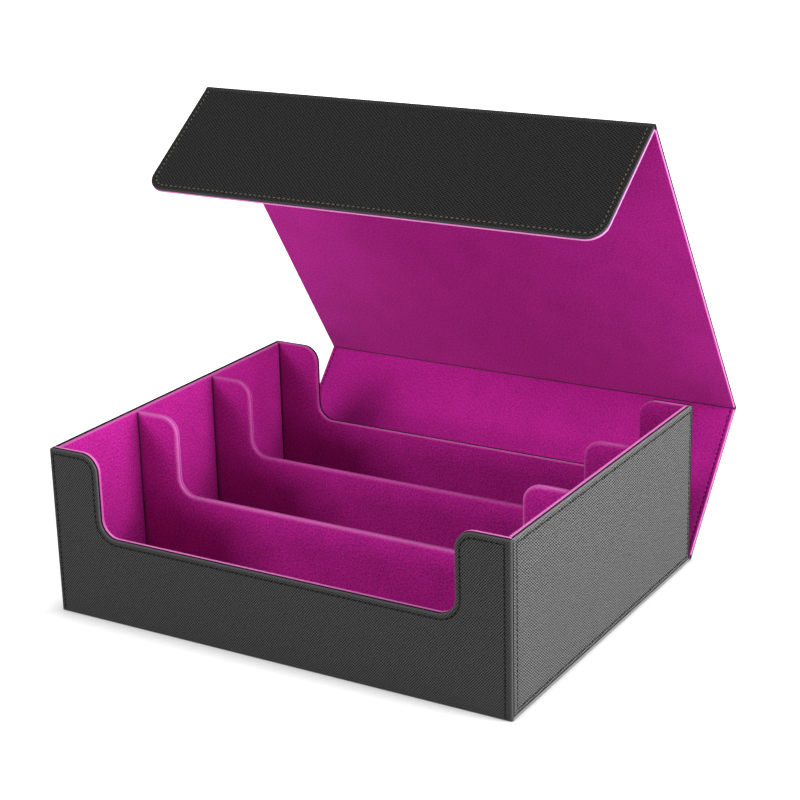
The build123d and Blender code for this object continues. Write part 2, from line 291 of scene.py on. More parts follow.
def surface(name, points, grain, seam, closed=True):
    """A grid of rows by columns as a piece, with a pair of coordinates a corner for each UV map.

    Columns run anticlockwise round the outline and rows from the face's middle outward, so each
    quad goes down a row, along a column and back up. Two caps close it: the first ring, and the
    last one turned round. An open grid gets one more face across its two end columns.
    """
    rows, columns = points.shape[:2]
    index = np.arange(rows * columns).reshape(rows, columns)
    marks = np.arange(grain.shape[0] * grain.shape[1]).reshape(grain.shape[:2])
    beside = np.roll(index, -1, axis=1) if closed else index[:, 1:]
    here = index if closed else index[:, :-1]
    quads = np.stack([here[:-1], here[1:], beside[1:], beside[:-1]], axis=-1).reshape(-1, 4)
    mark_quads = np.stack([marks[:-1, :-1], marks[1:, :-1], marks[1:, 1:], marks[:-1, 1:]], axis=-1)
    faces = quads.tolist() + [index[0].tolist(), index[-1][::-1].tolist()]
    corners = [mark_quads.reshape(-1), marks[0, :columns], marks[-1, :columns][::-1]]
    if not closed:
        faces.append(np.concatenate([index[::-1, 0], index[:, -1]]).tolist())
        corners += [marks[::-1, 0], marks[:, -1]]
    corners = np.concatenate(corners)
    piece = new_piece(name, points, faces)
    for layer, values in (("Grain", grain), ("Seam", seam)):
        pairs = values.reshape(-1, 2)[corners].astype(np.float32)
        piece.data.uv_layers.new(name=layer).data.foreach_set("uv", pairs.ravel())
    piece.data.set_sharp_from_angle(angle=SHARP)
    return piece


def paired(first, second):
    """Two arrays spread over each other's shape and laid together as pairs."""
    return np.stack(np.broadcast_arrays(first, second), axis=-1)


def run_lengths(ring, closed):
    """Distance along a ring to each point, with the full length added at the end if it is closed."""
    path = np.vstack([ring, ring[:1]]) if closed else ring
    return np.concatenate([[0], np.cumsum(np.linalg.norm(np.diff(path, axis=0), axis=1))])


def carried(name, outline, profile, face, seam_inset=0.0, part=None):
    """An edge profile carried round an outline, with flat caps: the face and its inside.

    part is the stretch of the ring that is kept when the outline is open at a cut side.
    """
    rings = np.stack([outline.ring(inset) for inset in profile.inset])
    flats = np.stack([outline.ring(along) for along in profile.along])
    mask, seam_ring = outline.sewn_mask(), outline.ring(seam_inset)
    closed = part is None
    if closed:
        flats = np.concatenate([flats, flats[:, :1]], axis=1)
    else:
        rings, flats, mask, seam_ring = rings[:, part], flats[:, part], mask[part], seam_ring[part]
    points = face.place(rings, profile.depth[:, None] + profile.groove[:, None] * mask)
    seam = paired(run_lengths(seam_ring, closed), profile.along[:, None])
    return surface(name, points, flats, seam, closed)


def strip(name, profile, face, start, end):
    """A panel between two straight cuts: the profile at both long sides, carried from start to end."""
    both = lambda values, sign=1: np.concatenate([values, sign * values[::-1]])
    stations = np.linspace(start, end, STRAIGHT_STEPS + 1)[::-1, None]
    flat = paired(both(HALF_WIDTH - profile.inset, -1), stations)
    points = face.place(flat, np.broadcast_to(both(profile.depth + profile.groove), flat.shape[:2]))
    loop = np.append(np.arange(flat.shape[1]), 0)
    grain = paired(both(HALF_WIDTH - profile.along, -1)[loop], stations)
    return surface(name, points, grain, paired(stations, both(profile.along)[loop]))


# ---- Thread ----
def stitch_shape(length, thick, slant):
    """One stitch: a hexagonal tube, thick in the middle and sunk at both ends.

    x runs along the seam, y across it and z up from the face; the tube's radius falls off at the
    ends and its middle line dips there as the fourth power of the distance from the middle.
    """
    t = np.array([-1.0, -0.86, -0.5, 0.0, 0.5, 0.86, 1.0])
    angle = np.linspace(0, 2 * np.pi, 6, endpoint=False)
    radius = thick / 2 * np.sqrt(np.clip(1.02 - t**4, 0.02, 1))
    x = np.broadcast_to((t * length / 2)[:, None], (len(t), 6))
    y = radius[:, None] * np.cos(angle) + (t * slant)[:, None]
    z = radius[:, None] * np.sin(angle) - thick * 0.8 * (t**4)[:, None]
    return np.stack([x, y, z], axis=-1)


def stitched(name, path, face, style, closed=False, above=0.0):
    """Stitches at an even pitch along a path in a face, each turned to the path's direction.

    Only those whose middle lies above a height are sewn. The tubes are one grid repeated by adding
    each stitch's place and turning it by the path's tangent.
    """
    reach = run_lengths(path, closed)
    loop = np.vstack([path, path[:1]] if closed else path)
    count = max(int(round(reach[-1] / style.pitch)), 1)
    at = (np.arange(count) + 0.5) * reach[-1] / count
    reached = at + style.length * np.array([[0.0], [0.5], [-0.5]])
    reached = np.clip(reached, 0, reach[-1])
    spot, ahead, behind = paired(*(np.interp(reached, reach, loop[:, k]) for k in (0, 1)))
    kept = spot[:, 1] > above
    spot, tangent = spot[kept], (ahead - behind)[kept]
    tangent /= np.linalg.norm(tangent, axis=1, keepdims=True)
    shape = stitch_shape(style.length, style.thickness, style.slant)
    rings, sides = shape.shape[:2]
    across = np.stack([-tangent[:, 1], tangent[:, 0]], axis=1)[:, None, None]
    flat = spot[:, None, None] + shape[..., 0:1] * tangent[:, None, None] + shape[..., 1:2] * across
    depth = np.broadcast_to(style.groove_depth - shape[..., 2], flat.shape[:3])
    one = np.arange(rings * sides).reshape(rings, sides)
    beside = np.roll(one, -1, axis=1)
    quads = np.stack([one[:-1], beside[:-1], beside[1:], one[1:]], axis=-1).reshape(-1, 4)
    lids = np.stack([one[0][::-1], one[-1]])
    offsets = (np.arange(len(spot)) * rings * sides)[:, None, None]
    faces = [*(quads + offsets).reshape(-1, 4).tolist(), *(lids + offsets).reshape(-1, sides).tolist()]
    return new_piece(name, face.place(flat, depth), faces)


# ---- Node helpers ----
class Graph:
    """A node tree with short ways to add to it. Values are numbers, colours or other sockets."""

    def __init__(self, tree):
        self.tree = tree

    def fill(self, sockets, values):
        """Links or sets each named or numbered socket."""
        for key, value in values.items():
            if isinstance(value, bpy.types.NodeSocket):
                self.tree.links.new(value, sockets[key])
            else:
                sockets[key].default_value = value

    def node(self, kind, inputs, **settings):
        """A node with its settings and inputs. Returns its outputs."""
        made = self.tree.nodes.new("ShaderNode" + kind)
        for key, value in settings.items():
            setattr(made, key, value)
        self.fill(made.inputs, inputs)
        return made.outputs

    def __getattr__(self, name):
        """graph.multiply_add(a, b, c) and its like: the result of the Math node of that name."""
        def result(*terms, clamp=False):
            return self.node("Math", dict(enumerate(terms)), operation=name.upper(), use_clamp=clamp)[0]
        return result

    def mix(self, factor, first, second):
        """The result of a colour mix."""
        made = self.tree.nodes.new("ShaderNodeMix")
        made.data_type = "RGBA"
        sockets = {socket.identifier: socket for socket in made.inputs}
        self.fill(sockets, {"Factor_Float": factor, "A_Color": first, "B_Color": second})
        return next(socket for socket in made.outputs if socket.identifier == "Result_Color")

    def noise(self, place, scale, detail, roughness=0.5, distortion=0.0):
        """Noise over a place."""
        sizes = {"Scale": scale, "Detail": detail, "Roughness": roughness, "Distortion": distortion}
        return self.node("TexNoise", {"Vector": place, **sizes})["Fac"]

    def parts(self, vector):
        """The X, Y and Z of a vector."""
        return self.node("SeparateXYZ", {0: vector})

    def bump(self, strength, distance, height):
        """A normal bent by a height."""
        return self.node("Bump", {"Strength": strength, "Distance": distance, "Height": height})[0]

    def placed(self, name, values):
        """The outputs of a node group that is placed here, with its values set or linked."""
        made = self.tree.nodes.new("ShaderNodeGroup")
        made.node_tree = bpy.data.node_groups[name]
        self.fill(made.inputs, values)
        return made.outputs


def group(name, inputs, outputs):
    """A shader node group with named sockets: (its graph, what it is given, what it gives)."""
    tree = bpy.data.node_groups.new(name, "ShaderNodeTree")
    for socket, value in inputs.items():
        kind = "NodeSocketFloat" if isinstance(value, float) else "NodeSocketVector"
        tree.interface.new_socket(socket, in_out="INPUT", socket_type=kind).default_value = value
    for socket in outputs:
        tree.interface.new_socket(socket, in_out="OUTPUT", socket_type="NodeSocketFloat")
    return Graph(tree), tree.nodes.new("NodeGroupInput").outputs, tree.nodes.new("NodeGroupOutput").inputs


# ---- Shared effects ----
ANYWHERE = (0.0, 0.0, 0.0)
GRAINS = {
    "wide": {"First": (546.0, -468.0, 0.0), "Second": (363.0, 468.0, 0.0), "Share": 0.6},
    "side": {"First": (58.0, -479.0, 0.0), "Second": (404.0, 479.0, 0.0), "Share": 1.0},
    "flap": {"First": (330.0, -420.0, 0.0), "Second": (330.0, 420.0, 0.0), "Share": 1.0},
}


def cross_grain_group():
    """Cross grain pressed into leather: two sets of fine slanted ridges that break into dots.

    Each set is a sine of the dot product of the place with a vector of ridges per metre, wobbled
    by noise. Share says how much the second set counts, and a slow noise makes places fainter.
    """
    graph, given, out = group("cross_grain", {"Place": ANYWHERE, **GRAINS["wide"]}, ["Height"])
    place = given["Place"]
    wobble = graph.multiply_add(graph.noise(place, 420.0, 3.0), 5.0, -2.5)
    ridges = []
    for name in ("First", "Second"):
        turns = graph.node("VectorMath", {0: place, 1: given[name]}, operation="DOT_PRODUCT")["Value"]
        ridges.append(graph.sine(graph.multiply_add(turns, 2 * np.pi, wobble)))
    woven = graph.multiply_add(ridges[1], given["Share"], ridges[0])
    height = graph.multiply_add(woven, 0.8, 0.5, clamp=True)
    strength = graph.multiply_add(graph.noise(place, 70.0, 5.0, 0.65), 1.2, 0.4, clamp=True)
    centred = graph.multiply(graph.subtract(height, 0.5), strength)
    graph.fill(out, {"Height": graph.add(centred, 0.5)})


def seam_group():
    """What sewing does to a surface: a pulled valley along the seam, and a smooth rolled edge.

    Sewn is the closeness to the seam line, pulled in more beside each stitch by a cosine of the run;
    Edge rises from the flat face to the rolled edge, and Turned is 1 where the surface has turned in
    further than Turned at, into a joint. The materials paint shade with Sewn and Turned, and a
    highlight with Edge.
    """
    lengths = {"At": 3.0, "Pitch": 3.4, "Width": 1.2, "Edge width": 1.4, "Turned at": 0.9}
    lengths = {name: value * MM for name, value in lengths.items()}
    graph, given, out = group("seam", {"Seam": ANYWHERE, **lengths}, ["Sewn", "Edge", "Turned"])
    run, inset, _ = graph.parts(given["Seam"])
    gap = graph.absolute(graph.subtract(inset, given["At"]))
    near = graph.subtract(1.0, graph.divide(gap, given["Width"]), clamp=True)
    turns = graph.multiply(graph.divide(run, given["Pitch"]), 2 * np.pi)
    pulled = graph.multiply_add(graph.cosine(turns), 0.25, 0.75)
    close = graph.divide(inset, given["Edge width"])
    beyond = graph.add(inset, given["Turned at"])
    graph.fill(out, {
        "Sewn": graph.multiply(near, pulled),
        "Edge": graph.subtract(1.0, close, clamp=True),
        "Turned": graph.divide(beyond, -0.3 * MM, clamp=True),
    })


def corner_shade_group():
    """Painted shade in an inner corner: rises towards both ends of a face and fades at its top edge."""
    lengths = {"At": INNER_HALF, "Top": RIM, "Width": 1.3 * MM}
    graph, given, out = group("joint", {"Place": ANYWHERE, **lengths}, ["Dark"])
    across, up, _ = graph.parts(given["Place"])
    short = graph.subtract(given["At"], graph.absolute(across))
    near = graph.subtract(1.0, graph.divide(short, given["Width"]), clamp=True)
    inside = graph.divide(graph.subtract(given["Top"], up), 1.5 * MM, clamp=True)
    graph.fill(out, {"Dark": graph.multiply(near, inside)})


def nap_group():
    """The nap of suede: a fine speckle where fibres lean, over slow lighter and darker brush marks."""
    graph, given, out = group("nap", {"Place": ANYWHERE}, ["Speckle", "Brushed"])
    fine = graph.noise(given["Place"], 850.0, 4.0, 0.7)
    slow = graph.noise(given["Place"], 45.0, 3.0, distortion=0.6)
    graph.fill(out, {"Speckle": fine, "Brushed": slow})


# ---- Materials ----
NO_SEAM = -9 * MM  # a seam line that no surface reaches
UNPULLED = 1e3  # a stitch pitch so long that nothing is pulled in
NOWHERE = 1.0  # a joint further out than any surface


def new_material(name):
    """An empty material: (material, its graph, the Principled shader's inputs)."""
    material = bpy.data.materials.new(name)
    material.use_nodes = True
    tree = material.node_tree
    return material, Graph(tree), tree.nodes["Principled BSDF"].inputs


def surface_maps(graph, seam_sizes):
    """The place in the piece's grain map, and the seam effect over its seam map."""
    place, seam = (graph.node("UVMap", {}, uv_map=layer)[0] for layer in ("Grain", "Seam"))
    return place, graph.placed("seam", {"Seam": seam, **seam_sizes})


def shades(colour, *shares):
    """A colour times each share, as colours with alpha."""
    return [[min(part * share, 1.0) for part in colour] + [1] for share in shares]


def leather(looks, name, seam_at=NO_SEAM, pitch=3.4 * MM, painted_light_tone=1.0, grain="wide", ends_at=NOWHERE,
            turned_at=0.55 * MM):
    """Black cross-grained leather: grain on the face, smooth at rolled edges, where a paler colour is
    painted on as a highlight, and painted shade in the seam's valley, the turned-in lip and joints.

    ends_at is how far from the piece's middle its ends turn into a joint, if they do; there they are
    painted dark as the joint's shade. The tone scales the colours as painted light for the piece's side.
    """
    material, graph, shader = new_material(name)
    sizes = {"At": seam_at, "Pitch": pitch, "Width": 1.05 * MM, "Turned at": turned_at}
    place, seam = surface_maps(graph, sizes)
    ridges = {
        key: value if key == "Share" else [count / looks.grain_size for count in value]
        for key, value in GRAINS[grain].items()
    }
    height = graph.placed("cross_grain", {"Place": place, **ridges})["Height"]
    # The grain's dark and light tones, and a paler colour painted on the rolled edges as a highlight
    dark, light, highlit = shades(looks.leather_colour, 0.05 * painted_light_tone, 2.3 * painted_light_tone, 3.6 * painted_light_tone)
    # The rolled edge is smoother, and lightened as a painted highlight
    edge = graph.power(seam["Edge"], 2.0)
    highlighted = graph.mix(graph.multiply(edge, 0.7), graph.mix(height, dark, light), highlit)
    # Painted shade where a side wall's ends meet the front and back walls
    joint = graph.placed("joint", {"Place": place, "At": ends_at, "Width": 0.6 * MM})["Dark"]
    # The turned-in lip, those ends and the seam's valley are painted near black as shade
    turned = graph.maximum(seam["Turned"], joint)
    painted_shade = graph.multiply_add(seam["Sewn"], 0.65, turned, clamp=True)
    rough = graph.multiply_add(height, -0.16, 0.68)
    flat_grain = graph.multiply(height, graph.subtract(1.0, edge))
    graph.fill(shader, {
        "Base Color": graph.mix(painted_shade, highlighted, [0.001, 0.001, 0.001, 1]),
        "Roughness": graph.multiply_add(edge, -0.16, rough),
        "Normal": graph.bump(0.6, 0.18 * MM, flat_grain),
        "Specular IOR Level": 0.12,
    })
    return material


def suede(looks, name, painted_light_tone=1.0, painted_highlight_share=0.75, seam_at=NO_SEAM, pitch=3.4 * MM, seam_dip_and_shade=0.0,
          edge_width=1.0 * MM, turned_at=9 * MM, nap_share=1.0, top=0.0, corner_shade_width=1.3 * MM,
          upward_share=0.0):
    """Magenta suede with a fine nap, a painted highlight on its rolled edges and painted shade where
    it turns into a joint.

    top is the height of the edge of a piece that runs from side wall to side wall; it gets painted
    shade in its inner corners. The other pieces have none. The upward share is how much of the
    painted highlight only shows where the edge faces up.
    """
    material, graph, shader = new_material(name)
    sizes = {"At": seam_at, "Pitch": pitch, "Edge width": edge_width, "Turned at": turned_at}
    place, seam = surface_maps(graph, {**sizes, "Width": 0.9 * MM})
    nap = graph.placed("nap", {"Place": place})
    joint = graph.placed("joint", {"Place": place, "Top": top, "Width": corner_shade_width})["Dark"]
    # The tone scales the nap's two colours as painted light or shade for the piece's place
    dark, light = shades(looks.suede_colour, *(painted_light_tone * (1 + 0.5 * sign * nap_share) for sign in (-1, 1)))
    brushed = graph.multiply_add(nap["Brushed"], 0.45, -1.5)
    speckled = graph.multiply_add(nap["Speckle"], 3.6, brushed, clamp=True)
    # The rolled edges are lightened as a painted highlight, more where they face up
    edge = graph.multiply(graph.power(seam["Edge"], 1.3), painted_highlight_share)
    facing = graph.parts(graph.node("TexCoord", {})["Normal"])["Z"]
    upward = graph.multiply_add(facing, upward_share, 1.0 - upward_share, clamp=True)
    painted_highlight = [*looks.suede_highlight_colour, 1]
    highlighted = graph.mix(graph.multiply(edge, upward), graph.mix(speckled, dark, light), painted_highlight)
    # The seam's valley dips the bump and, with the turned-in side and inner corners, is painted dark as shade
    valley = graph.multiply(seam["Sewn"], seam_dip_and_shade)
    painted_shade = graph.maximum(seam["Turned"], graph.multiply(joint, 0.9))
    shaded = graph.maximum(painted_shade, graph.multiply(valley, 0.8))
    height = graph.multiply_add(valley, -1.0, nap["Speckle"])
    graph.fill(shader, {
        "Base Color": graph.mix(shaded, highlighted, [0.008, 0.0005, 0.006, 1]),
        "Normal": graph.bump(0.6, 0.3 * MM, height),
        "Roughness": 0.95,
        "Specular IOR Level": 0.05,
        "Sheen Weight": 0.26,
        "Sheen Roughness": 0.45,
        "Sheen Tint": [1.0, 0.35, 0.8, 1],
    })
    return material


def thread(name, colour):
    """Twisted polyester thread: fine slanted strands along each stitch."""
    material, graph, shader = new_material(name)
    sizes = {"Vector": graph.node("TexCoord", {})["Object"], "Scale": 1500.0, "Distortion": 0.4}
    twist = graph.node("TexWave", sizes, bands_direction="DIAGONAL")["Fac"]
    graph.fill(shader, {
        "Base Color": graph.mix(twist, *shades(colour, 0.55, 1.0)),
        "Normal": graph.bump(0.4, 0.05 * MM, twist),
        "Roughness": 0.7,
        "Specular IOR Level": 0.15,
    })
    return material


def greyboard():
    """Pressed grey card with flecks of fibre, seen only when the box is taken apart."""
    material, graph, shader = new_material("greyboard")
    flecks = graph.noise(graph.node("TexCoord", {})["Object"], 700.0, 5.0, 0.7)
    graph.fill(shader, {
        "Base Color": graph.mix(flecks, [0.16, 0.15, 0.13, 1], [0.34, 0.32, 0.29, 1]),
        "Normal": graph.bump(0.3, 0.1 * MM, flecks),
        "Roughness": 0.9,
    })
    return material


def nickel():
    """Plated magnet discs with faint tumbling marks."""
    material, graph, shader = new_material("magnet_nickel")
    marks = graph.noise(graph.node("TexCoord", {})["Object"], 400.0, 3.0)
    graph.fill(shader, {
        "Base Color": graph.mix(marks, [0.55, 0.53, 0.50, 1], [0.72, 0.70, 0.67, 1]),
        "Roughness": graph.multiply_add(marks, 0.25, 0.18),
        "Metallic": 1.0,
    })
    return material


# ---- Settings ----
def colour_of(name, description, default):
    """A colour."""
    kind = {"subtype": "COLOR", "size": 3, "min": 0, "max": 1}
    return FloatVectorProperty(name=name, description=description, default=default, **kind)


def number_of(name, description, default, low=0, high=5, scale=1, **kind):
    """A number between two limits, all three given in units of scale."""
    sizes = {"default": default * scale, "min": low * scale, "max": high * scale}
    return FloatProperty(name=name, description=description, **sizes, **kind)


def length_of(name, description, default, low=1, high=10):
    """A length, given here in millimetres."""
    return number_of(name, description, default, low, high, MM, unit="LENGTH")


def power_of(name, description, default):
    """A light's power in watts."""
    return number_of(name, description, default, high=1000, unit="POWER")


class CARDBOX_PG_finish(bpy.types.PropertyGroup):
    """Colours and the leather's grain."""

    leather_colour: colour_of("Leather", "Colour of the leather", (0.025, 0.025, 0.025))
    suede_colour: colour_of("Suede", "Colour of the lining", (0.40, 0.012, 0.235))
    # Painted highlight on the lining's rolled edges
    suede_highlight_colour: colour_of("Suede edge", "Colour of the lining's worn edges", (0.74, 0.24, 0.58))
    grain_size: number_of("Grain size", "Size of the leather's grain over its drawn size", 0.8, 0.2)


class CARDBOX_PG_sewing(bpy.types.PropertyGroup):
    """Stitches and the seams' places."""

    pitch: length_of("Stitch pitch", "Distance from one stitch to the next", 3.4)
    length: length_of("Stitch length", "Length of a stitch on the surface", 2.5, 0.5, 9)
    thickness: length_of("Thread thickness", "Diameter of the thread", 0.95, 0.1, 2)
    slant: length_of("Slant", "How far a stitch's ends stand off the seam line", 0.10, 0, 1)
    front_seam: length_of("Front seam", "Front panel's edge to its seam", 3.2)
    side_seam: length_of("Side seam", "Side and back panels' edge to their seam", 3.5)
    flap_seam: length_of("Flap seam", "Flap's edge to its seam", 3.6)
    cover_seam: length_of("Cover seam", "Edge of the cover's back panel to its seams", 2.6)
    groove_depth: length_of("Groove depth", "How deep the thread pulls the leather in", 0.22, 0, 0.6)
    wall_thread: colour_of("Wall thread", "Colour of the thread in the walls", (0.001, 0.001, 0.001))
    # The flap thread's paler colour is a painted glint on dark thread
    flap_thread: colour_of("Flap thread", "Colour of the thread in the flap", (0.13, 0.11, 0.09))
    lining_thread: colour_of("Lining thread", "Colour of the thread in the lining", (0.045, 0.002, 0.03))


class CARDBOX_PG_stage(bpy.types.PropertyGroup):
    """Floor and lights."""

    floor_colour: colour_of("Floor", "Colour of the floor", (0.92, 0.92, 0.92))
    # The floor's camera-only glow drops near the box as a painted shadow
    floor_glow: number_of("Floor glow", "How much a lit table whitens the floor for the camera", 0.42)
    key_power: power_of("Key light", "Power of the light on the right", 68.0)
    fill_power: power_of("Fill light", "Power of the light at the front left", 36.0)
    low_power: power_of("Low light", "Power of the low light in front", 14.0)
    world_strength: number_of("Surround", "Brightness of the white surround", 0.42)


class CARDBOX_PG_settings(bpy.types.PropertyGroup):
    """All settings of the box's looks."""

    finish: PointerProperty(type=CARDBOX_PG_finish)
    sewing: PointerProperty(type=CARDBOX_PG_sewing)
    stage: PointerProperty(type=CARDBOX_PG_stage)


def dress(thing, material, body, slot, *nodes):
    """Gives a new piece its material and its body, and hides the nodes it stands for. slot is not used."""
    thing.data.materials.append(material)
    if nodes:
        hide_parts(*nodes)
    if body is not None:
        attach(thing, body)


# ---- Tray ----
def wall_outlines(sewing):
    """(name, outline, seam's inset) of each wall's leather.

    A wall's foot is covered, so the front's isn't sewn there. The extras put each seam as far from
    its edge as it shows on the box, and further in or out where a neighbour's thickness covers it.
    """
    front_extra = [1.2 * MM, 0, 0, 0, 0, 0, -0.8 * MM, 0]
    near, far, foot = 0.8 * MM, -1.3 * MM, -1.4 * MM
    sewn = [1] * 7 + [0]
    front = notched(HALF_WIDTH, 0, RIM, foot=1.0 * MM, sewn=sewn, extra=front_extra)
    back = notched(HALF_WIDTH, THICK_COVER, RIM)
    left, right = (
        rectangle(-SIDE_END, SIDE_END, THICK_COVER, RIM, extra=extra)
        for extra in ([near, 0, far, foot], [far, 0, near, foot])
    )
    at = sewing.side_seam
    return ("front", front, sewing.front_seam), ("back", back, at), ("left", left, at), ("right", right, at)


class CARDBOX_OT_wall_leather(bpy.types.Operator):
    """Leather skins of the tray's four walls."""

    bl_idname = "cardbox.wall_leather"
    bl_label = "Wall leather"

    def execute(self, context):
        box = context.scene.card_box
        for name, outline, at in wall_outlines(box.sewing):
            profile = pan_profile(SHELL, SKIN, EDGE_ROLL, 0.5 * MM, (at, 0.8 * MM, box.sewing.groove_depth))
            skin = carried(f"{name}_wall_skin", outline, profile, WALLS[name], at)
            side = name in ("left", "right")
            # Side walls: a brighter painted light tone for the key light's side, and painted shade at their
            # ends
            look = {"painted_light_tone": 2.3, "grain": "side", "ends_at": SIDE_END - 0.5 * MM} if side else {}
            # The back and left walls' rolled top is painted black as the shade of their far rims
            if name in ("back", "left"):
                look["turned_at"] = -0.3 * MM
            look = leather(box.finish, f"leather_{name}_wall", at, box.sewing.pitch, **look)
            dress(skin, look, "tray", "leather", f"{name}_wall_leather")
        return {"FINISHED"}


class CARDBOX_OT_wall_lining(bpy.types.Operator):
    """Suede liners inside the walls, and the floor's lining."""

    bl_idname = "cardbox.wall_lining"
    bl_label = "Wall lining"

    # Wall, painted light tone, share of painted highlight at the edge, and how far the edge is pressed
    # down below the solid's.
    LINERS = (
        ("front", 1.0, 0.75, 0.0),
        ("back", 0.84, 0.3, 0.4 * MM),
        ("left", 0.92, 0.4, 0.75 * MM),
        ("right", 1.0, 0.75, 0.0),
    )

    def execute(self, context):
        finish = context.scene.card_box.finish
        profile = slab_profile(LINER, 0.9 * MM, 0.6 * MM)
        for name, painted_light_tone, painted_highlight, drop in self.LINERS:
            high = LINER_TOP - drop
            # The liner's sides and back are painted dark as the shade of the gap by the leather
            painted_shading = {"painted_light_tone": painted_light_tone, "painted_highlight_share": painted_highlight, "turned_at": 1.75 * MM}
            if name in ("front", "back"):
                place = (0, INNER_DEPTH, 0)
                outline = notched(LINER_HIGH[0], LINER_BASE, high, RIM - high, FOOT_ROUND)
                # Front and back liners: painted shade in their inner corners, a painted highlight on edges
                # facing up
                painted_shading.update(top=LINER_TOP, upward_share=0.65)
            else:
                place = (INNER_HALF, 0, 0)
                reach = INNER_DEPTH - CORNER_GAP
                outline = rectangle(-reach, reach, LINER_BASE, high, FOOT_ROUND)
            outward = -WALLS[name].inward
            face = Face(outward * place, -WALLS[name].right, UP)
            liner = carried(f"{name}_wall_suede", outline, profile, face)
            look = suede(finish, f"suede_{name}", **painted_shading)
            dress(liner, look, "tray", "suede_lining", f"{name}_wall_lining")
        top = Face((0, 0, FLOOR_HIGH[2]), (1, 0, 0), (0, 1, 0))
        outline = rectangle(FLOOR_LOW[0], FLOOR_HIGH[0], FLOOR_LOW[1], FLOOR_HIGH[1], FOOT_ROUND)
        profile = slab_profile(FLOOR_HIGH[2] - FLOOR_LOW[2], 0.3 * MM, 0.2 * MM)
        floor = carried("floor_suede", outline, profile, top)
        dress(floor, suede(finish, "suede_floor"), "tray", "suede_lining", "floor_lining")
        return {"FINISHED"}


class CARDBOX_OT_dividers(bpy.types.Operator):
    """The dividers' suede sleeves, with a seam along the middle of each edge."""

    bl_idname = "cardbox.dividers"
    bl_label = "Dividers"

    ROLL = 0.42  # rounding of an edge, as a share of the thickness
    NOTCH = ((0.05, 0.46), (0.28, 0.50), (0.05, 0.54))  # the seam: inset in mm, share of the thickness
    SEAM_AT = -1.2776 * MM  # run from the face's end round the edge to the seam

    def execute(self, context):
        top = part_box(DIVIDERS[0])[1][2]
        # Painted shade in the corners by the side walls and along the middle seam groove
        sizes = {"edge_width": 2.6 * MM, "top": top, "corner_shade_width": 3.2 * MM}
        seam = {"seam_at": self.SEAM_AT, "pitch": UNPULLED, "seam_dip_and_shade": 0.9}
        # Each divider gets its own painted light tone and painted highlight share
        for name, painted_light_tone, painted_highlight in zip(DIVIDERS, (1.04, 0.88), (0.42, 0.2)):
            look = suede(
                context.scene.card_box.finish, name.replace("divider", "suede"), painted_light_tone, painted_highlight, **seam, **sizes
            )
            low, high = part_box(name)
            thick = high[1] - low[1]
            edge = quarter(thick * self.ROLL, 6)
            notch = [(inset * MM, thick * share) for inset, share in self.NOTCH]
            rows = face_rows(thick * self.ROLL) + edge + notch + from_behind(edge, thick)
            profile = Profile(rows + [(thick * self.ROLL + 1.0 * MM, thick)])
            outline = notched(high[0], low[2], high[2], foot=0.4 * MM)
            face = Face((0, low[1], 0), (1, 0, 0), UP)
            sleeve = carried(name.replace("suede", "sleeve"), outline, profile, face)
            dress(sleeve, look, "tray", "suede_lining", name)
        return {"FINISHED"}


# ---- Cover ----
def cover_layout():
    """(name, outer face, lining face, start, end) of each moving panel; its body has its name."""
    axes, climbs = [fold_axis(joint) for joint in FOLDS], rises()
    flap = np.array([v.co for v in frame["nodes"]["flap_leather"].data.vertices])
    flap_end = ((flap - axes[2]) @ (0, cos(climbs[2]), sin(climbs[2]))).max()
    ends = [*(np.linalg.norm(b - a) - FOLD_GAP for a, b in zip(axes, axes[1:])), flap_end]
    rows = zip(BODIES[1:], axes, climbs, ends)
    return [(name, *panel_faces(axis, rise), FOLD_GAP, end) for name, axis, rise, end in rows]


def flap_outline(start, end):
    """The flap's outline and the stretch of its ring that is kept, without the cut side at the fold."""
    outline = rectangle(-HALF_WIDTH, HALF_WIDTH, start, end, FLAP_CORNER, cut=[0, 0, 0, 1])
    outline.radii[[0, 3]] = 0
    return outline, slice(ARC_STEPS, 3 * (ARC_STEPS + STRAIGHT_STEPS) + 1)


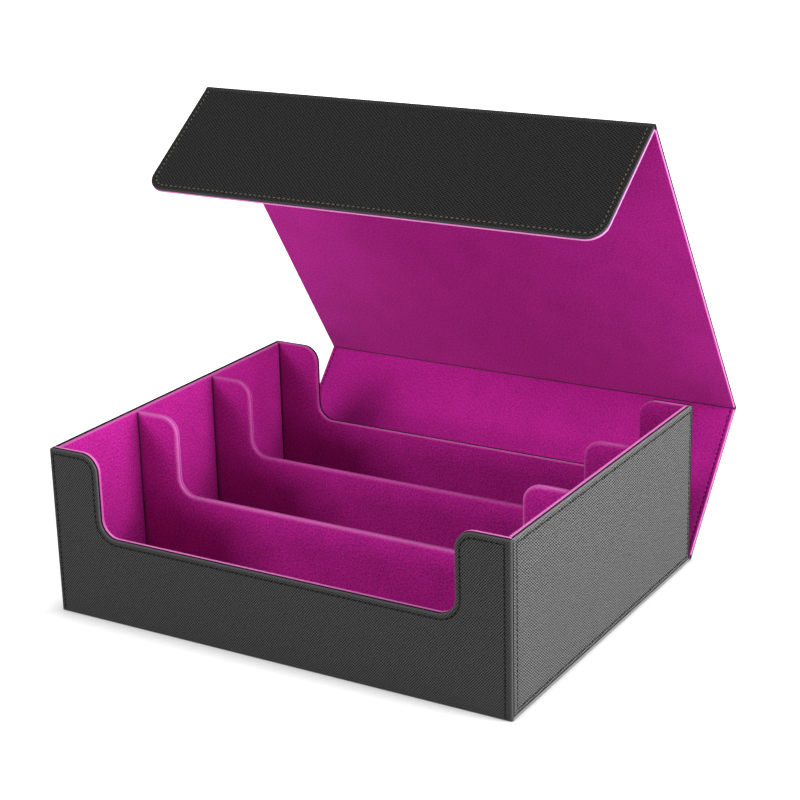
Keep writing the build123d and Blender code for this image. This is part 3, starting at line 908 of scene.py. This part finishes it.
class CARDBOX_OT_cover_panels(bpy.types.Operator):
    """Leather and suede of the back panel, the lid and the flap, and the bottom panel's leather."""

    bl_idname = "cardbox.cover_panels"
    bl_label = "Cover panels"

    # Panel: the leather's painted light tone and grain, the lining's painted highlight share, its
    # turned_at, past which it is painted dark as shade, and its seam's share of dip and painted shade.
    LOOKS = {
        "cover_back": (1.0, "wide", 0.8, 0.45 * MM, 0.5),
        "lid": (1.0, "wide", 0.8, 0.45 * MM, 0.0),
        "flap": (0.55, "flap", 0.95, 9 * MM, 0.5),
    }

    def execute(self, context):
        sewing, finish = context.scene.card_box.sewing, context.scene.card_box.finish
        profile = pan_profile(THICK_COVER, SKIN, SOFT_ROLL, 0.25 * MM)
        skin = strip("cover_bottom_skin", profile, BOTTOM, BOTTOM_LOW[1], BOTTOM_HIGH[1])
        # The bottom's leather gets a brighter painted light tone; turned_at keeps painted shade off its side
        look = leather(finish, "leather_bottom", painted_light_tone=2.3, turned_at=1.95 * MM)
        dress(skin, look, "tray", "leather", "cover_bottom_leather")
        for name, outer, inner, start, end in cover_layout():
            painted_light_tone, grain, painted_highlight, turned_at, sewn = self.LOOKS[name]
            at = sewing.flap_seam if name == "flap" else sewing.cover_seam
            pull = sewing.groove_depth if sewn else 0.0
            dark = leather(finish, f"leather_{name}", at, sewing.pitch, painted_light_tone, grain)
            # The lining's turned-in edge is painted dark as shade, and its seam's valley as shade and a dip
            painted_shading = {"seam_dip_and_shade": sewn, "turned_at": turned_at, "nap_share": 0.75}
            soft = suede(finish, f"suede_{name}", 1.0, painted_highlight, at, sewing.pitch, **painted_shading)
            for label, face, look, slot, node_name, skin, roll, depth in (
                ("skin", outer, dark, "leather", "leather", SKIN, EDGE_ROLL, pull),
                ("suede", inner, soft, "suede_lining", "lining", SUEDE, SOFT_ROLL, pull * 0.8),
            ):
                profile = pan_profile(HALF_COVER, skin, roll, 0.3 * MM, (at, 0.9 * MM, depth))
                if name == "flap":
                    outline, kept = flap_outline(start, end)
                    piece = carried(f"{name}_{label}", outline, profile, face, at, part=kept)
                else:
                    piece = strip(f"{name}_{label}", profile, face, start, end)
                dress(piece, look, name, slot, f"{name}_{node_name}")
        return {"FINISHED"}


LEAD_STEPS = 4  # rows of a leather strip before its arc starts
CREASE = 1.06  # how far the crease is from the axis, over half the cover's thickness


def fold_section(before, after, outside):
    """Section of a fold's strip about its axis: (outer curve, inner curve) in the YZ plane.

    Outside, the leather runs straight off each panel's face and round an arc between them. Inside,
    the lining runs from face to face by way of a rounded crease nearer the axis.
    """
    if outside:
        turn = np.linspace(before, after, 15)
        normal = np.stack([np.sin(turn), -np.cos(turn)], axis=1)
        lead = np.linspace(FOLD_GAP, 0, LEAD_STEPS + 1)[:-1, None]
        first, last = lead * (cos(before), sin(before)), lead[::-1] * (cos(after), sin(after))
        return [
            np.concatenate([radius * normal[0] - first, radius * normal, radius * normal[-1] + last])
            for radius in (HALF_COVER, HALF_COVER - SKIN)
        ]
    rim, lean = np.hypot(FOLD_GAP, HALF_COVER), np.arctan2(HALF_COVER, FOLD_GAP)
    angle = np.linspace(np.pi + before - lean, after + lean, 25)
    dip = rim - (rim - HALF_COVER * CREASE) * (1 - np.abs(np.linspace(-1, 1, 25)) ** 1.6)
    ray = np.stack([np.cos(angle), np.sin(angle)], axis=1)
    return [radius[:, None] * ray for radius in (dip, dip - SUEDE)]


class CARDBOX_OT_folds(bpy.types.Operator):
    """Leather and lining strips curved round the folds between the cover's panels."""

    bl_idname = "cardbox.folds"
    bl_label = "Folds"

    def execute(self, context):
        finish = context.scene.card_box.finish
        dark = leather(finish, "leather_plain")
        # The crease's lining dips and is painted dark along its middle as shade, with no painted highlight
        line = {"seam_at": 0.0, "pitch": UNPULLED, "seam_dip_and_shade": 1.1}
        soft = suede(finish, "suede_fold", painted_highlight_share=0.0, nap_share=0.5, **line)
        climbs = [0.0, *rises()]
        stations = HALF_WIDTH - np.array([0.0, 0.12, 0.35, 0.8]) * MM
        stations = np.concatenate([stations, -stations[::-1]])
        near_end = np.clip(1 - (HALF_WIDTH - np.abs(stations)) / EDGE_ROLL, 0, 1)
        fall = 0.5 * MM * (1 - np.sqrt(1 - near_end**2))
        for number, joint in enumerate(FOLDS):
            axis = fold_axis(joint)
            for label, look, slot in (("strip", dark, "leather"), ("crease", soft, "suede_lining")):
                outside = label == "strip"
                outer, inner = fold_section(climbs[number], climbs[number + 1], outside)
                shrunk = outer * (1 - fall[:, None, None] / np.linalg.norm(outer, axis=1, keepdims=True))
                section = np.concatenate([shrunk, np.broadcast_to(inner[::-1], shrunk.shape)], axis=1)
                x = np.broadcast_to(stations[:, None, None], section.shape[:2] + (1,))
                points = np.concatenate([x, section + axis[1:]], axis=2)
                length = run_lengths(outer, False)
                loop = np.concatenate([length, length[::-1], length[:1]])
                aside = np.full(len(loop), 8.0 * MM) if outside else np.abs(loop - length[-1] / 2)
                grain, seam = paired(stations[:, None], loop), paired(stations[:, None], aside)
                order, lead = slice(None, None, 1 if outside else -1), LEAD_STEPS * outside
                piece = surface(f"{joint}_{label}", points[order], grain[order], seam[order])
                dress(piece, look, None, slot, f"{joint}_core")
                start, end = ((0, *(axis[1:] + outer[row])) for row in (lead, -1 - lead))
                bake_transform(piece)
        return {"FINISHED"}


class CARDBOX_OT_stitching(bpy.types.Operator):
    """The thread in every seam."""

    bl_idname = "cardbox.stitching"
    bl_label = "Stitching"

    def execute(self, context):
        sewing = context.scene.card_box.sewing
        dark = thread("thread_wall", sewing.wall_thread)
        # The flap's thread is paler than the walls' as a painted glint
        glint_thread = thread("thread_flap", sewing.flap_thread)
        plum = thread("thread_lining", sewing.lining_thread)
        for name, outline, at in wall_outlines(sewing):
            above = 1.6 * MM if name == "front" else 0.0
            title = f"{name}_wall_stitches"
            piece = stitched(title, outline.ring(at), WALLS[name], sewing, closed=True, above=above)
            dress(piece, dark, "tray", "leather")
        for name, x in (("left", SIDE_END), ("right", -SIDE_END)):
            path = (x, THICK_COVER), (x, RIM - EDGE_ROLL)
            piece = stitched(f"{name}_corner_stitches", path, WALLS[name], sewing)
            dress(piece, dark, "tray", "leather")
        for name, outer, inner, start, end in cover_layout():
            if name == "lid":
                continue
            if name == "flap":
                outline, kept = flap_outline(start, end)
                look, paths = glint_thread, {"": outline.ring(sewing.flap_seam)[kept]}
            else:
                x = HALF_WIDTH - sewing.cover_seam
                look, paths = dark, {"_left": ((-x, start), (-x, end)), "_right": ((x, start), (x, end))}
            for label, face, look, slot in (
                ("outer", outer, look, "leather"),
                ("inner", inner, plum, "suede_lining"),
            ):
                for side, path in paths.items():
                    piece = stitched(f"{name}_{label}_stitches{side}", path, face, sewing)
                    dress(piece, look, name, slot)
        return {"FINISHED"}


class CARDBOX_OT_inner_parts(bpy.types.Operator):
    """Materials of the boards and magnets inside."""

    bl_idname = "cardbox.inner_parts"
    bl_label = "Inner parts"

    def execute(self, context):
        card, plate = greyboard(), nickel()
        for name, thing in frame["nodes"].items():
            if name.endswith(("board", "magnets")):
                thing.data.materials.clear()
                thing.data.materials.append(card if name.endswith("board") else plate)
        return {"FINISHED"}


# ---- Stage ----
SHADE = 16.0 * MM  # width of the shade in front and on the left
RIGHT_SHADE = 4.0 * MM  # width of the shade on the right
FAR_FLOOR = 1.2  # distance at which the floor is as white as the surround


def floor_material(stage):
    """Pale paper with a glow that only the camera sees, and a painted shadow in front of the box
    and left of it.

    Its glow rises with the distance from the box's footprint to the power of 0.6 over SHADE, at once
    past the right wall, and again with the distance over the table's length far from the box.
    """
    material, graph, shader = new_material("floor_paper")
    x, y, _ = graph.parts(graph.node("TexCoord", {})["Object"])
    aside = [
        graph.maximum(graph.subtract(graph.absolute(value), float(reach)), 0.0)
        for value, reach in ((x, HALF_WIDTH), (y, BACK_Y))
    ]
    away = graph.maximum(*aside)
    # Painted shadow: the glow drops near the front and left of the box's footprint
    near = graph.power(graph.divide(away, SHADE, clamp=True), 0.6)
    past = graph.subtract(x, float(HALF_WIDTH))
    close = graph.maximum(near, graph.divide(past, RIGHT_SHADE, clamp=True))
    far = graph.divide(away, FAR_FLOOR, clamp=True)
    lit = graph.add(graph.multiply(close, stage.floor_glow), far)
    seen = graph.node("LightPath", {})["Is Camera Ray"]
    graph.fill(shader, {
        "Base Color": (*stage.floor_colour, 1),
        "Roughness": 0.9,
        "Specular IOR Level": 0.1,
        "Emission Color": (1, 1, 1, 1),
        "Emission Strength": graph.multiply(seen, lit),
    })
    return material


class CARDBOX_OT_stage(bpy.types.Operator):
    """Floor, lights and camera."""

    bl_idname = "cardbox.stage"
    bl_label = "Stage"

    CAMERA_TARGET = (0.0, 0.0269, 0.1122)
    CAMERA_DISTANCE = 1.2066
    CAMERA_ANGLES = (30.925, 18.753, -1.407)  # azimuth, elevation and roll about the target
    CAMERA_LENS, CAMERA_SENSOR = 89.33, 36  # focal length and sensor's width in millimetres
    SEEN_WHITE = 0.7  # what the surround gains where the camera sees it directly
    LIT = (0, 0, 0.1)  # where the lights point
    LIGHTS = (
        ("key", (1.95, 0.35, 0.6), (1.4, 0.9)),
        ("fill", (-1.3, -1.9, 1.45), (0.9, 0.9)),
        ("low", (0.3, -2.3, 0.3), (1.4, 0.5)),
    )

    def execute(self, context):
        stage, scene = context.scene.card_box.stage, context.scene
        scene.view_settings.view_transform = "Standard"
        bpy.ops.mesh.primitive_plane_add(size=60)
        floor = context.object
        floor.name = "floor"
        floor.data.materials.append(floor_material(stage))
        scene.world = scene.world or bpy.data.worlds.new("surround")
        scene.world.use_nodes = True
        graph = Graph(scene.world.node_tree)
        seen = graph.node("LightPath", {})["Is Camera Ray"]
        strength = graph.multiply_add(seen, self.SEEN_WHITE, stage.world_strength)
        background = graph.tree.nodes["Background"].inputs
        graph.fill(background, {"Color": (1, 1, 1, 1), "Strength": strength})
        for name, place, size in self.LIGHTS:
            light = bpy.data.lights.new(name, "AREA")
            light.shape, light.energy = "RECTANGLE", getattr(stage, f"{name}_power")
            light.size, light.size_y = size
            turned = (Vector(place) - Vector(self.LIT)).to_track_quat("Z", "Y").to_matrix().to_4x4()
            in_scene(light).matrix_world = Matrix.Translation(place) @ turned
        self.add_camera(scene)
        return {"FINISHED"}

    def add_camera(self, scene):
        """The photograph's viewing angle: azimuth, elevation and roll about a target."""
        turn, rise, roll = (radians(angle) for angle in self.CAMERA_ANGLES)
        camera = bpy.data.cameras.new("camera")
        camera.lens, camera.sensor_width = self.CAMERA_LENS, self.CAMERA_SENSOR
        scene.camera = in_scene(camera)
        tilted = Matrix.Rotation(turn, 4, "Z") @ Matrix.Rotation(radians(90) - rise, 4, "X")
        away = Matrix.Rotation(roll, 4, "Z") @ Matrix.Translation((0, 0, self.CAMERA_DISTANCE))
        scene.camera.matrix_world = Matrix.Translation(self.CAMERA_TARGET) @ tilted @ away


OPERATORS = (
    CARDBOX_OT_wall_leather,
    CARDBOX_OT_wall_lining,
    CARDBOX_OT_dividers,
    CARDBOX_OT_cover_panels,
    CARDBOX_OT_folds,
    CARDBOX_OT_stitching,
    CARDBOX_OT_inner_parts,
    CARDBOX_OT_stage,
)


class CARDBOX_PT_panel(bpy.types.Panel):
    """Settings and steps of the box's looks."""

    bl_idname = "CARDBOX_PT_panel"
    bl_label = "Card Box"
    bl_space_type = "VIEW_3D"
    bl_region_type = "UI"
    bl_category = "Card Box"

    def draw(self, context):
        layout, chosen = self.layout, context.scene.card_box
        for values in (chosen.finish, chosen.sewing, chosen.stage):
            box = layout.box()
            box.label(text=type(values).__doc__)
            for name in values.__annotations__:
                box.prop(values, name)
        for operator in OPERATORS:
            layout.operator(operator.bl_idname)


CLASSES = (
    CARDBOX_PG_finish, CARDBOX_PG_sewing, CARDBOX_PG_stage, CARDBOX_PG_settings, *OPERATORS, CARDBOX_PT_panel,
)


def register():
    for cls in CLASSES:
        bpy.utils.register_class(cls)
    bpy.types.Scene.card_box = PointerProperty(type=CARDBOX_PG_settings)


def unregister():
    del bpy.types.Scene.card_box
    for cls in reversed(CLASSES):
        bpy.utils.unregister_class(cls)


def main():
    """Registers the classes and makes every piece in order."""
    register()
    for effect in (cross_grain_group, seam_group, corner_shade_group, nap_group):
        effect()
    for operator in OPERATORS:
        getattr(bpy.ops.cardbox, operator.bl_idname.partition(".")[2])()


if __name__ == "__main__":
    main()
